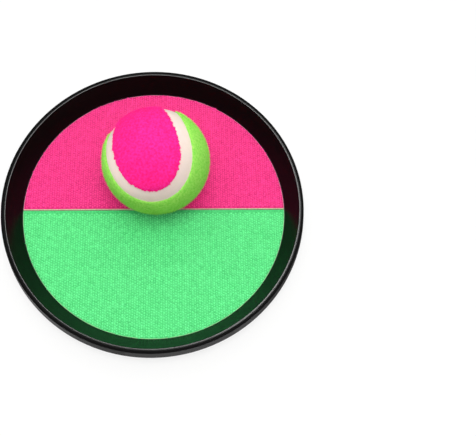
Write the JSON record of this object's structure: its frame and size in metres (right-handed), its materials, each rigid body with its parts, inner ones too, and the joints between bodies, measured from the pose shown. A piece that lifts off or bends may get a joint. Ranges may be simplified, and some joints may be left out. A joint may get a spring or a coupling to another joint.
{
  "type": "hook and loop catch paddle",
  "caption": "Round moulded catch paddle with a raised rim, a two-tone hook fabric face, an adjustable hand strap on its back and a felt ball held on the face.",
  "frame": {"origin": "on the dish's axis, level with the outer face of the strap that the paddle lies on", "axes": "+Z out of the catch face, +Y from the green half to the pink half, X along the seam between them"},
  "size_m": [0.1868, 0.1868, 0.0734],
  "materials": {
    "dish_plastic": "satin moulded polypropylene, black",
    "clear_adhesive": "clear acrylic adhesive",
    "hook_fabric_pink": "woven hook fabric, fluorescent pink",
    "hook_fabric_green": "woven hook fabric, fluorescent green",
    "webbing": "herringbone polyester webbing, black",
    "loop_pile": "brushed loop pile, black",
    "strap_hooks": "woven hook tape, black",
    "ball_rubber": "smooth moulded rubber, ivory",
    "felt_pink": "brushed loop felt, fluorescent pink",
    "felt_green": "brushed loop felt, fluorescent green"
  },
  "bodies": {
    "paddle": {"dish": "dish_plastic", "adhesive_film": "clear_adhesive", "hook_face_pink": "hook_fabric_pink", "hook_face_green": "hook_fabric_green", "strap_fixed_loop": "webbing", "strap_turn_loop": "webbing"},
    "strap": {"strap_base": "webbing", "strap_loop_patch": "loop_pile", "strap_outer": "webbing"},
    "flap": {"strap_flap": "webbing", "strap_hook_patch": "strap_hooks"},
    "ball": {"ball_core": "ball_rubber", "ball_felt_pink": "felt_pink", "ball_felt_green": "felt_green"}
  },
  "joints": [
    {"name": "ball_pull", "type": "slide", "parent": "paddle", "child": "ball", "axis": [0, 0, 1], "range_m": [0, 0.1]},
    {"name": "strap_lift", "type": "slide", "parent": "paddle", "child": "strap", "axis": [0, 0, -1], "range_m": [0, 0.03]},
    {"name": "flap_peel", "type": "hinge", "parent": "strap", "child": "flap", "pos_m": [0.0182, -0.01, 0.0006], "axis": [-1, 0, 0], "range_deg": [0, 150]}
  ]
}
